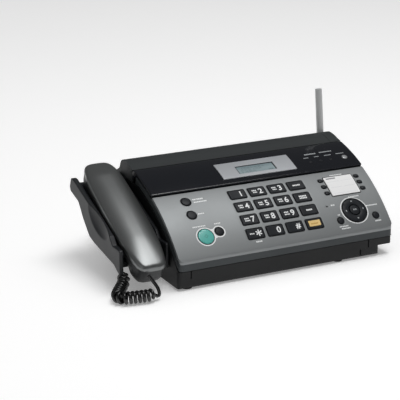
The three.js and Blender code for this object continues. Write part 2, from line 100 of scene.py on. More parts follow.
def offset(p, d):
    """Moves a loop to the left of its travel."""
    if abs(d) < 1e-9:
        return p
    e1, e2 = p - np.roll(p, 1, 0), np.roll(p, -1, 0) - p
    n1, n2 = [np.stack([-e[:, 1], e[:, 0]], 1) / np.maximum(np.linalg.norm(e, axis=1), 1e-9)[:, None] for e in (e1, e2)]
    return p + d * (n1 + n2) / np.maximum(1 + (n1 * n2).sum(1), 0.35)[:, None]


def inside(points, loops):
    out = np.zeros(len(points), bool)
    for lp in loops:
        a, b = lp, np.roll(lp, -1, 0)
        for k in range(0, len(points), 1500):
            q = points[k:k + 1500]
            cond = (a[None, :, 1] > q[:, None, 1]) != (b[None, :, 1] > q[:, None, 1])
            with np.errstate(divide="ignore", invalid="ignore"):
                xi = a[:, 0] + (q[:, None, 1] - a[:, 1]) / (b[:, 1] - a[:, 1]) * (b[:, 0] - a[:, 0])
            out[k:k + 1500] ^= (np.sum(cond & (q[:, None, 0] < xi), axis=1) % 2).astype(bool)
    return out


def plate_mesh(outer, holes=(), depth=1.0, bev=0.3, bevb=0.0, seg=3, step=1.5, du=8.0, dv=3.6, hfun=None):
    """A flat plate with holes and rounded edges: points (u, v, h), h = 0 on its face and -depth behind."""
    loops = []
    for i, lp in enumerate([outer, *holes]):
        p = resample(lp, step)
        loops.append(p[::-1] if (area(p) < 0) == (i == 0) else p)
    prof = []
    if bevb > 0:
        prof += [(bevb * (1 - math.cos(a)), -depth + bevb * (1 - math.sin(a))) for a in (math.pi / 2 * (1 - k / seg) for k in range(seg + 1))]
    else:
        prof.append((0.0, -depth))
    prof += [(bev * (1 - math.cos(a)), -bev * (1 - math.sin(a))) for a in (math.pi / 2 * k / seg for k in range(seg + 1))] if bev > 0 else [(0.0, 0.0)]
    V, F, tops, bots = [], [], [], []
    for p in loops:
        n, base = len(p), len(V)
        for ins, h in prof:
            V += [(x, y, h) for x, y in offset(p, ins)]
        for r in range(len(prof) - 1):
            F += [(base + r * n + i, base + r * n + (i + 1) % n, base + (r + 1) * n + (i + 1) % n, base + (r + 1) * n + i) for i in range(n)]
        bots += range(base, base + n)
        tops += range(base + (len(prof) - 1) * n, base + len(prof) * n)
    caps = [offset(p, bev) for p in loops]
    pts = np.concatenate(caps)
    nb = len(pts)
    lo, hi = pts.min(0), pts.max(0)
    gu = np.linspace(lo[0], hi[0], max(2, int((hi[0] - lo[0]) / du)) + 1)[1:-1]
    gv = np.linspace(lo[1], hi[1], max(2, int((hi[1] - lo[1]) / dv)) + 1)[1:-1]
    g = np.array([(a, b) for a in gu for b in gv]).reshape(-1, 2)
    if len(g):
        g = g[inside(g, caps)]
    if len(g):
        keep = np.ones(len(g), bool)
        for k in range(0, len(g), 800):
            keep[k:k + 800] = np.linalg.norm(g[k:k + 800, None] - pts[None], axis=2).min(1) > min(0.8, 0.3 * dv)
        g = g[keep]
    allp = np.concatenate([pts, g]) if len(g) else pts
    edges, at = [], 0
    for p in caps:
        edges += [(at + i, at + (i + 1) % len(p)) for i in range(len(p))]
        at += len(p)
    vs, _, fs, orig, _, _ = delaunay_2d_cdt([Vector(p) for p in allp], edges, [], 0, 1e-6)
    back = [o[0] if len(o) else -1 for o in orig]
    tri = [[back[i] for i in f] for f in fs]
    tri = np.array([t for t in tri if -1 not in t and len(set(t)) == 3], int)
    tri = tri[inside(allp[tri].mean(1), caps)]
    a, b, c = allp[tri[:, 0]], allp[tri[:, 1]], allp[tri[:, 2]]
    flip = ((b - a)[:, 0] * (c - a)[:, 1] - (b - a)[:, 1] * (c - a)[:, 0]) < 0
    tri[flip] = tri[flip][:, ::-1]
    t0 = len(V)
    V += [(x, y, 0.0) for x, y in allp[nb:]]
    b0 = len(V)
    V += [(x, y, -depth) for x, y in allp[nb:]]
    F += [tuple(tops[i] if i < nb else t0 + i - nb for i in t) for t in tri]
    F += [tuple(bots[i] if i < nb else b0 + i - nb for i in t[::-1]) for t in tri]
    V = np.array(V, float)
    if hfun is not None:
        m = V[:, 2] > -max(bev, 0.01) - 1e-6
        V[m, 2] += hfun(V[m, 0], V[m, 1])
    return V, F


def arc(th, r):
    return (59.3 - r * math.sin(th * D), -100 + r * math.cos(th * D))


def arcs(t0, t1, r, n):
    return [arc(t0 + (t1 - t0) * i / n, r) for i in range(n + 1)]


def face_map(R):
    """(u, v, h) on the curved top: u along the machine, v up the slope, h out of it."""
    def f(V):
        t, r = -V[:, 1] / R, R + V[:, 2]
        return np.stack([V[:, 0], 59.3 - r * np.sin(t), -100 + r * np.cos(t)], 1)
    return f


def flat_map(x, th, R):
    y, z = arc(th, R)
    c, s = math.cos(th * D), math.sin(th * D)
    return lambda V: np.stack([x + V[:, 0], y + V[:, 1] * c - V[:, 2] * s, z + V[:, 1] * s + V[:, 2] * c], 1)


def x_map(x1):
    return lambda V: np.stack([x1 + V[:, 2], V[:, 0], V[:, 1]], 1)


HC, HN = math.cos(26.2 * D), math.sin(26.2 * D)
def hs_map(V):
    V = np.asarray(V, float)
    return np.stack([-132 + V[:, 0], -23 + V[:, 1] * HC - V[:, 2] * HN, 67.5 + V[:, 1] * HN + V[:, 2] * HC], 1)


def plate(name, outer, holes, mapf, mat, body, slot=None, replaces=(), **kw):
    V, F = plate_mesh(outer, holes, **kw)
    ob = new_obj(name, mapf(V), F, mat)
    return own(ob, body, replaces)


def own(ob, body, replaces=()):
    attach(ob, body)
    if replaces:
        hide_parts(*([replaces] if isinstance(replaces, str) else replaces))
    return ob


def rrect(w, h, r, n=6, cx=0.0, cy=0.0):
    p = []
    rs = r if isinstance(r, (list, tuple)) else [r] * 4     # right-top, left-top, left-bottom, right-bottom
    for (sx, sy, a0), q in zip([(1, 1, 0), (-1, 1, 90), (-1, -1, 180), (1, -1, 270)], rs):
        for i in range(n + 1):
            a = (a0 + 90 * i / n) * D
            p.append((cx + sx * (w / 2 - q) + q * math.cos(a), cy + sy * (h / 2 - q) + q * math.sin(a)))
    return p


def circle(r, n=40, cx=0.0, cy=0.0):
    return [(cx + r * math.cos(2 * math.pi * i / n), cy + r * math.sin(2 * math.pi * i / n)) for i in range(n)]


def fillet(pts, rad, n=5):
    """Rounds the corners of a closed outline; rad is one radius or a dict by corner number."""
    p, out = np.array(pts, float), []
    for i in range(len(p)):
        r = rad.get(i, rad.get("all", 0)) if isinstance(rad, dict) else rad
        a, b, c = p[i - 1], p[i], p[(i + 1) % len(p)]
        u, v = (a - b), (c - b)
        lu, lv = np.linalg.norm(u), np.linalg.norm(v)
        u, v = u / lu, v / lv
        ang = math.acos(max(-1, min(1, float(u @ v))))
        if r <= 0 or ang > 172 * D:
            out.append(tuple(b)); continue
        t = min(r / math.tan(ang / 2), lu * 0.48, lv * 0.48)
        r2 = t * math.tan(ang / 2)
        centre = b + (u + v) / np.linalg.norm(u + v) * r2 / math.sin(ang / 2)
        p0, p1 = b + u * t - centre, b + v * t - centre
        a0, a1 = math.atan2(p0[1], p0[0]), math.atan2(p1[1], p1[0])
        d = (a1 - a0 + math.pi) % (2 * math.pi) - math.pi
        out += [(centre[0] + r2 * math.cos(a0 + d * k / n), centre[1] + r2 * math.sin(a0 + d * k / n)) for k in range(n + 1)]
    return out


def sweep(name, profile, x0, x1, mat, body, slot=None, replaces=(), bev=0.6, **kw):
    """A (y, z) outline along X, rounded at both ends."""
    return plate(name, profile, (), x_map(x1), mat, body, slot, replaces, depth=x1 - x0, bev=bev, bevb=bev, du=12.0, dv=12.0, step=kw.pop("step", 6.0), **kw)


def boxes(name, items, mapf, mat, body, top=0.04, bottom=-0.25):
    """Thin printed bars: (u0, u1, v0, v1)."""
    V, F = [], []
    for u0, u1, v0, v1 in items:
        b = len(V)
        V += [(u, v, h) for h in (bottom, top) for u, v in ((u0, v0), (u1, v0), (u1, v1), (u0, v1))]
        F += [tuple(b + i for i in f) for f in ((3, 2, 1, 0), (4, 5, 6, 7), (0, 1, 5, 4), (1, 2, 6, 5), (2, 3, 7, 6), (3, 0, 4, 7))]
    return own(new_obj(name, mapf(np.array(V, float)), F, mat, weighted=False), body)


def lathe(name, prof, segs, matrix, mat, body, replaces=(), sharp=32):
    """prof: (radius, z) from bottom to top, closed at both ends."""
    V, F, n = [], [], segs
    for r, z in prof:
        V += [matrix @ Vector((r * math.cos(2 * math.pi * i / n), r * math.sin(2 * math.pi * i / n), z)) for i in range(n)]
    for k in range(len(prof) - 1):
        F += [(k * n + i, k * n + (i + 1) % n, (k + 1) * n + (i + 1) % n, (k + 1) * n + i) for i in range(n)]
    F.append(tuple(range(n))[::-1])
    F.append(tuple((len(prof) - 1) * n + i for i in range(n)))
    return own(new_obj(name, V, F, mat, sharp=sharp), body, replaces)


def tube_mesh(path, r, n=10):
    P = np.array(path, float)
    T = np.gradient(P, axis=0)
    T /= np.linalg.norm(T, axis=1)[:, None]
    a = np.cross(T[0], [0, 0, 1.0]); a /= np.linalg.norm(a)
    V, F = [], []
    rr = r if hasattr(r, "__len__") else [r] * len(P)
    for i, (p, t) in enumerate(zip(P, T)):
        a = a - t * (a @ t); a /= np.linalg.norm(a)
        b = np.cross(t, a)
        V += [p + rr[i] * (a * math.cos(2 * math.pi * k / n) + b * math.sin(2 * math.pi * k / n)) for k in range(n)]
    for i in range(len(P) - 1):
        F += [(i * n + k, i * n + (k + 1) % n, (i + 1) * n + (k + 1) % n, (i + 1) * n + k) for k in range(n)]
    F += [tuple(range(n))[::-1], tuple((len(P) - 1) * n + k for k in range(n))]
    return V, F


# ------------------------------------------------------------------ materials
def srgb(*c):
    return [((v / 255 + 0.055) / 1.055) ** 2.4 if v > 10 else v / 255 / 12.92 for v in c]


def gradient(mat, axis, lo, hi, dark):
    """Painted shade: darkens a material towards one side of the object, where a recess shades it."""
    nt = mat.node_tree
    n, l = nt.nodes, nt.links
    b = n["Principled BSDF"]
    old = b.inputs["Base Color"].links[0].from_socket
    tc, sep, rg, mx = n.new("ShaderNodeTexCoord"), n.new("ShaderNodeSeparateXYZ"), n.new("ShaderNodeMapRange"), n.new("ShaderNodeMix")
    l.new(tc.outputs["Object"], sep.inputs[0]); l.new(sep.outputs[axis], rg.inputs["Value"])
    rg.inputs["From Min"].default_value, rg.inputs["From Max"].default_value = lo, hi
    mx.data_type, mx.blend_type = "RGBA", "MULTIPLY"
    l.new(rg.outputs["Result"], mx.inputs["Factor"]); l.new(old, mx.inputs["A"])
    mx.inputs["B"].default_value = [*dark, 1]
    l.new(mx.outputs["Result"], b.inputs["Base Color"])


def material(name, col, rough=0.45, metal=0.0, coat=0.0, coat_r=0.08, grain=1400.0, bump=0.12, var=0.07, rvar=0.05, spec=0.5, broad=14.0, depth=0.00003, stretch=None, sheen=0.0):
    m = bpy.data.materials.new(name)
    m.use_nodes = True
    nt = m.node_tree
    n, l = nt.nodes, nt.links
    b = n["Principled BSDF"]
    b.inputs["Metallic"].default_value = metal
    b.inputs["Specular IOR Level"].default_value = spec
    b.inputs["Coat Weight"].default_value = coat
    b.inputs["Coat Roughness"].default_value = coat_r
    b.inputs["Sheen Weight"].default_value = sheen
    tc = n.new("ShaderNodeTexCoord")
    src = tc.outputs["Object"]
    if stretch:
        mp = n.new("ShaderNodeMapping")
        mp.inputs["Scale"].default_value = stretch
        l.new(src, mp.inputs["Vector"]); src = mp.outputs["Vector"]
    fine, wide = n.new("ShaderNodeTexNoise"), n.new("ShaderNodeTexNoise")
    for t, s, dt in ((fine, grain, 2.0), (wide, broad, 3.0)):
        t.inputs["Scale"].default_value, t.inputs["Detail"].default_value = s, dt
        l.new(src, t.inputs["Vector"])
    m1, m2 = n.new("ShaderNodeMix"), n.new("ShaderNodeMix")
    for q in (m1, m2):
        q.data_type = "RGBA"
    l.new(fine.outputs["Fac"], m1.inputs["Factor"])
    m1.inputs["A"].default_value = [*(c * (1 - var) for c in col), 1]
    m1.inputs["B"].default_value = [*(min(1, c * (1 + var)) for c in col), 1]
    rg = n.new("ShaderNodeMapRange")
    rg.inputs["From Min"].default_value, rg.inputs["From Max"].default_value = 0.35, 0.65
    rg.inputs["To Min"].default_value, rg.inputs["To Max"].default_value = 0.0, 0.5
    l.new(wide.outputs["Fac"], rg.inputs["Value"])
    l.new(rg.outputs["Result"], m2.inputs["Factor"])
    l.new(m1.outputs["Result"], m2.inputs["A"])
    m2.inputs["B"].default_value = [*(c * (1 - 1.2 * var) for c in col), 1]
    l.new(m2.outputs["Result"], b.inputs["Base Color"])
    rr = n.new("ShaderNodeMapRange")
    rr.inputs["From Min"].default_value, rr.inputs["From Max"].default_value = 0.3, 0.7
    rr.inputs["To Min"].default_value, rr.inputs["To Max"].default_value = max(0.02, rough - rvar), min(1, rough + rvar)
    l.new(wide.outputs["Fac"], rr.inputs["Value"])
    l.new(rr.outputs["Result"], b.inputs["Roughness"])
    if bump > 0:
        bp = n.new("ShaderNodeBump")
        bp.inputs["Strength"].default_value, bp.inputs["Distance"].default_value = bump, depth
        l.new(fine.outputs["Fac"], bp.inputs["Height"])
        l.new(bp.outputs["Normal"], b.inputs["Normal"])
    return m


M = dict(
    panel=material("metallic_grey_paint", srgb(140, 143, 144), 0.47, 0.62, grain=2600, bump=0.08, var=0.08, rvar=0.03),
    handset=material("metallic_handset_paint", srgb(124, 126, 126), 0.33, 0.8, grain=2600, bump=0.05, var=0.06, rvar=0.03),
    handset_low=material("handset_lower_plastic", srgb(50, 51, 52), 0.42, 0.2, grain=1600, bump=0.1),
    cradle=material("cradle_plastic", srgb(30, 32, 35), 0.44, 0.0, spec=0.35, grain=1500, bump=0.2),
    cover=material("cover_plastic", srgb(52, 55, 56), 0.52, 0.0, spec=0.3, grain=1300, bump=0.3, var=0.1),
    cabinet=material("cabinet_plastic", srgb(9, 11, 13), 0.5, 0.0, spec=0.35, grain=1300, bump=0.3, var=0.1),
    # painted shade: the skirt is the panel's metallic paint, made darker and less metallic to stand for its shaded,
    # downward-facing strip
    skirt=material("skirt_shaded_panel_paint", srgb(60, 64, 66), 0.46, 0.4, grain=2600, bump=0.08, var=0.08),
    gloss=material("gloss_black", srgb(14, 17, 24), 0.17, 0.0, coat=0.4, coat_r=0.12, grain=300, bump=0.0, var=0.1, rvar=0.02),
    plate=material("silver_plate_paint", srgb(196, 199, 203), 0.4, 0.55, grain=3000, bump=0.05, var=0.05),
    lcd=material("display_film_painted_shade", srgb(148, 164, 168), 0.16, 0.0, coat=0.7, coat_r=0.03, grain=900, bump=0.0, var=0.05, rvar=0.03),
    card=material("card_paper", srgb(243, 243, 243), 0.6, 0.0, grain=2200, bump=0.25, var=0.02),
    key=material("key_plastic", srgb(29, 32, 36), 0.42, 0.0, grain=2200, bump=0.1, var=0.12, spec=0.25),
    gold=material("gold_print", srgb(236, 204, 136), 0.42, 0.25, grain=2400, bump=0.05, var=0.07),
    green=material("sea_green_button", srgb(84, 178, 168), 0.3, 0.0, coat=0.35, grain=1500, bump=0.03, var=0.05),
    silver=material("silver_button", srgb(186, 188, 190), 0.3, 0.6, grain=2400, bump=0.03),
    white=material("white_print", srgb(238, 240, 240), 0.55, 0.0, grain=3000, bump=0.1, var=0.03),
    faint=material("grey_print", srgb(168, 172, 174), 0.55, 0.0, grain=3000, bump=0.1, var=0.05),
    black=material("black_plastic", srgb(11, 12, 13), 0.46, 0.0, grain=1500, bump=0.15, var=0.12, spec=0.3),
    antenna=material("antenna_sleeve", srgb(196, 198, 198), 0.38, 0.2, grain=1600, bump=0.08),
    cord=material("cord_sheath", srgb(11, 12, 13), 0.28, 0.0, coat=0.25, coat_r=0.2, grain=1200, bump=0.06, var=0.15),
    pcb=material("solder_mask", srgb(24, 92, 52), 0.4, 0.0, coat=0.2, grain=700, bump=0.2, var=0.18, broad=60),
    steel=material("plated_steel", srgb(186, 188, 190), 0.3, 0.9, grain=500, bump=0.08, stretch=(0.06, 1, 1)),
    rubber=material("roller_rubber", srgb(26, 26, 27), 0.8, 0.0, grain=2200, bump=0.5, var=0.15),
    paper=material("thermal_paper", srgb(238, 236, 228), 0.75, 0.0, grain=1800, bump=0.2, var=0.02, broad=40),
    cone=material("speaker_cone", srgb(40, 40, 40), 0.85, 0.0, grain=1500, bump=0.5, var=0.15),
    gear=material("white_nylon", srgb(205, 203, 195), 0.45, 0.0, grain=1400, bump=0.1, var=0.03),
    gold_pin=material("contact_gold", srgb(214, 176, 92), 0.28, 0.95, grain=900, bump=0.02),
    floor=material("floor_paper", srgb(250, 250, 250), 0.7, 0.0, grain=60, bump=0.0, var=0.004, rvar=0.02, broad=2),
)

# painted shade: the display film darkens towards the top of its window, where the recess shades it
gradient(M["lcd"], "Y", -0.0125, -0.0065, (0.62, 0.66, 0.68))

# ------------------------------------------------------------------ handset cord
def catmull(points, per=16):
    P = [np.array(p, float) for p in points]
    P = [2 * P[0] - P[1], *P, 2 * P[-1] - P[-2]]
    out = []
    for i in range(1, len(P) - 2):
        p = P[i - 1:i + 3]
        t = [0.0]
        for k in range(3):
            t.append(t[-1] + max(1e-4, np.linalg.norm(p[k + 1] - p[k]) ** 0.5))
        for s in np.linspace(t[1], t[2], per, endpoint=False):
            a = [(t[k + 1] - s) / (t[k + 1] - t[k]) * p[k] + (s - t[k]) / (t[k + 1] - t[k]) * p[k + 1] for k in range(3)]
            b = [(t[k + 2] - s) / (t[k + 2] - t[k]) * a[k] + (s - t[k]) / (t[k + 2] - t[k]) * a[k + 1] for k in range(2)]
            out.append((t[2] - s) / (t[2] - t[1]) * b[0] + (s - t[1]) / (t[2] - t[1]) * b[1])
    return np.array(out + [P[-2]])


def along(line, step):
    s = np.concatenate([[0], np.cumsum(np.linalg.norm(np.diff(line, axis=0), axis=1))])
    q = np.linspace(0, s[-1], max(2, int(s[-1] / step) + 1))
    return np.stack([np.interp(q, s, line[:, k]) for k in range(3)], 1), q


CORD_R, COIL_R, PITCH = 1.85, 5.05, 4.75
lead = [(-153.5, -66.0, 20.5), (-155.0, -70.0, 16.4)]
coil = [(-156.5, -73.5, 13.2), (-162, -79, 9.6), (-168, -86, 8.0), (-172.5, -94.5, 7.4), (-169.5, -101.6, 7.4), (-160, -104.2, 7.4), (-148, -106, 7.4), (-137.5, -107.2, 7.4)]
strand = [(-133.2, -106.9, 5.2), (-130.8, -105.6, 5.9), (-131.4, -103.8, 12.0), (-135.8, -100.6, 20.0), (-139.4, -98.4, 25.6)]
axis, dist = along(catmull(lead + coil + strand), 0.18)
near = lambda p: float(dist[np.argmin(np.linalg.norm(axis - np.array(p), axis=1))])
s0, s1 = near(lead[0]) + 1.0, near(coil[-1]) + 1.5
grow = np.clip((dist - s0) / 4.0, 0, 1) * np.clip((s1 - dist) / 5.0, 0, 1)
grow = grow * grow * (3 - 2 * grow)
T = np.gradient(axis, axis=0); T /= np.linalg.norm(T, axis=1)[:, None]
a = np.cross(T[0], [0, 0, 1.0]); a /= np.linalg.norm(a)
helix = []
for i, p in enumerate(axis):
    a = a - T[i] * (a @ T[i]); a /= np.linalg.norm(a)
    b = np.cross(T[i], a)
    ph = 2 * math.pi * (dist[i] - s0) / PITCH
    helix.append(p + COIL_R * grow[i] * (a * math.cos(ph) + b * math.sin(ph)))
helix = np.array(helix)
helix[:, 2] = np.maximum(helix[:, 2], CORD_R + 0.05)
path, _ = along(helix, 1.15)
V, F = tube_mesh(path, CORD_R, 10)
cord = new_obj("curly_cord", V, F, M["cord"], weighted=False, sharp=60)
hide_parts("handset_cord")
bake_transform(cord)

# ------------------------------------------------------------------ operation panel
R_KEY, R_PANEL, R_BAND, R_COVER = 206.0, 205.2, 207.0, 206.6
pv = lambda th, R=R_PANEL: -th * D * R
BUT = []           # name, x, theta, outline(grow), kind
for row in range(4):
    for col in range(4):
        nm = "key_" + ["1", "2", "3", "4", "5", "6", "7", "8", "9", "star", "0", "hash"][row * 3 + col] if col < 3 else f"function_key_{row + 1}"
        BUT.append((nm, -7.15 + 24.4 * col, 29.86 + 4.881 * row, lambda g: rrect(19.6 + 2 * g, 11.7 + 2 * g, 1.3 + g), "key"))
for nm, x, th, d in (("caller_button", -68.9, 29.65, 10.6), ("stop_button", -69.7, 34.85, 10.4), ("start_button", -64.1, 42.86, 17.6), ("copy_button", -47.1, 41.86, 9.6), ("menu_button", 99.1, 45.0, 7.6), ("set_button", 144.5, 45.1, 7.6)):
    BUT.append((nm, x, th, (lambda r: lambda g: circle(r + g))(d / 2), "green" if nm == "start_button" else "round"))
for i in range(3):
    BUT.append((f"speed_dial_left_{i + 1}", 98.2, 29.6 + 2.58 * i, lambda g: rrect(5.6 + 2 * g, 3.8 + 2 * g, 1.7 + g), "small"))
    BUT.append((f"speed_dial_right_{i + 1}", 144.6, 29.7 + 2.53 * i, lambda g: rrect(5.6 + 2 * g, 3.8 + 2 * g, 1.7 + g), "small"))
NAV = (120.8, 42.2)

holes = [[(x + p[0], pv(th) + p[1]) for p in o(0.4)] for _, x, th, o, _ in BUT]
holes.append(circle(15.0, 60, NAV[0], pv(NAV[1])))
holes.append(rrect(2.6, 0.9, 0.4, 4, 90.0, pv(39.5)))
v0, v1 = pv(25.9), pv(49.6)
plate("panel_face", rrect(263.7, v0 - v1, [0.8, 0.8, 5.5, 5.5], 8, (160.5 - 103.2) / 2, (v0 + v1) / 2), holes, face_map(R_PANEL), M["panel"], "panel", "panel_silver", "operation_panel", depth=3.1, bev=0.8, step=1.6, du=9, dv=3.4)

# rolled lip that closes the front edge of the panel down to the skirt
lx0, lx1, ly, lr = -103.15, 160.45, -96.95, 5.5
lip_o = [(lx0, ly + lr + 1)] + [(lx0 + lr - lr * math.cos(a), ly + lr - lr * math.sin(a)) for a in (math.pi / 2 * k / 8 for k in range(9))] \
    + [(lx1 - lr + lr * math.sin(a), ly + lr - lr * math.cos(a)) for a in (math.pi / 2 * k / 8 for k in range(9))] + [(lx1, ly + lr + 1)]
lip_i = [(lx1 - 2.2, ly + lr + 1)] + [(lx1 - lr + (lr - 2.2) * math.cos(a), ly + lr - (lr - 2.2) * math.sin(a)) for a in (math.pi / 2 * k / 6 for k in range(7))] \
    + [(lx0 + lr - (lr - 2.2) * math.sin(a), ly + lr - (lr - 2.2) * math.cos(a)) for a in (math.pi / 2 * k / 6 for k in range(7))] + [(lx0 + 2.2, ly + lr + 1)]
plate("panel_lip", lip_o + lip_i, (), lambda V: np.stack([V[:, 0], V[:, 1], V[:, 2] + 33.1], 1), M["panel"], "panel", depth=3.4, bev=0.7, seg=3, step=3.0, du=6, dv=6)

# printed outlines and marks on the panel
pm = face_map(R_PANEL)
A, B = np.array([-64.1, pv(42.86)]), np.array([-47.1, pv(41.86)])
C = A + (B - A) * 0.60
ring = []
for i in range(90):
    d = np.array([math.cos(i * 4 * D), math.sin(i * 4 * D)])
    best = 0
    for q, r in ((A, 11.1), (B, 7.1), (C, 5.8)):
        w = C - q
        disc = (w @ d) ** 2 - (w @ w - r * r)
        if disc > 0:
            best = max(best, -(w @ d) + math.sqrt(disc))
    ring.append(tuple(C + d * best))
thin = dict(depth=0.35, bev=0.03, seg=1, step=1.2, du=4, dv=3)
up = lambda V: pm(np.stack([V[:, 0], V[:, 1], V[:, 2] + 0.05], 1))
plate("start_copy_outline", ring, [circle(9.7, 48, *A), circle(5.75, 36, *B)], up, M["white"], "panel", **thin)
plate("navigation_outline", circle(16.9, 72, NAV[0], pv(NAV[1])), [circle(15.6, 72, NAV[0], pv(NAV[1]))], up, M["white"], "panel", **thin)


def dashes(u, v, widths, gap=0.45, h=1.1, centre=True):
    """A row of short bars standing for print."""
    total = sum(widths) + gap * (len(widths) - 1)
    x, out = u - (total / 2 if centre else 0), []
    for w in widths:
        out.append((x, x + w, v - h / 2, v + h / 2)); x += w + gap
    return out


marks = []
marks += dashes(-60.5, pv(29.2), [1.5, 1.5, .5, 1.5, 1.5, 1.5, 1.6], h=1.9, centre=False) + dashes(-60.5, pv(30.3), [1.6, 1.4, 1.7, 1.5, 1.5, 1.3, 1.6, 1.5], h=1.5, centre=False)
marks += dashes(-62.3, pv(34.8), [1.5, 1.3, 1.6, 1.4], h=1.5, centre=False)
marks += dashes(-67.5, pv(39.2), [1.4, 1.5, 1.2, .4, 1.4, 1.3, 1.6, 1.5, 1.3], h=1.4) + dashes(-45.8, pv(39.1), [1.6, 1.5, 1.4, 1.3], h=1.5)
marks += dashes(97.2, pv(39.3), [1.6, .6, 1.6], h=1.7)
marks += dashes(120.9, pv(28.0), [1.5, 1.4, 1.3, .4, 1.5, 1.4, 1.5, 1.4, 1.5], h=1.4) + dashes(127.5, pv(37.35), [1.5, .4, 1.3, 1.4, 1.3, 1.4, 1.5, 1.3], h=1.4)
marks += dashes(143.6, pv(41.4), [1.3, 1.4, 1.3, 1.5, 1.4, 1.3, 1.4, 1.4, 1.3], h=1.4)
marks += dashes(99.4, pv(43.0), [1.2, 1.3], h=1.2) + dashes(100.2, pv(47.0), [1.5, 1.4, 1.5, 1.4, 1.5, 1.4], h=1.3) + dashes(102.0, pv(47.75), [1.5, 1.4, 1.5, 1.4, 1.5, 1.4], h=1.3)
marks += dashes(144.8, pv(46.95), [1.7, 1.4, 1.6, 1.4], h=1.5) + dashes(-6.0, pv(47.2), [1.5, 1.4, 1.5, 1.5], h=1.6)
boxes("panel_print", marks, pm, M["white"], "panel")

# ------------------------------------------------------------------ buttons
def text_mesh(body, size, bold=0.0):
    c = bpy.data.curves.new("t", "FONT")
    c.body, c.size, c.align_x, c.align_y = body, size, "CENTER", "CENTER"
    c.extrude, c.offset, c.resolution_u = 0.06, bold, 5
    o = bpy.data.objects.new("t", c)
    scene.collection.objects.link(o)
    dg = bpy.context.evaluated_depsgraph_get(); dg.update()
    me = bpy.data.meshes.new_from_object(o.evaluated_get(dg))
    V = np.array([v.co for v in me.vertices]); F = [tuple(p.vertices) for p in me.polygons]
    bpy.data.objects.remove(o); bpy.data.curves.remove(c); bpy.data.meshes.remove(me)
    V[:, :2] -= (V[:, :2].max(0) + V[:, :2].min(0)) / 2
    return V, F


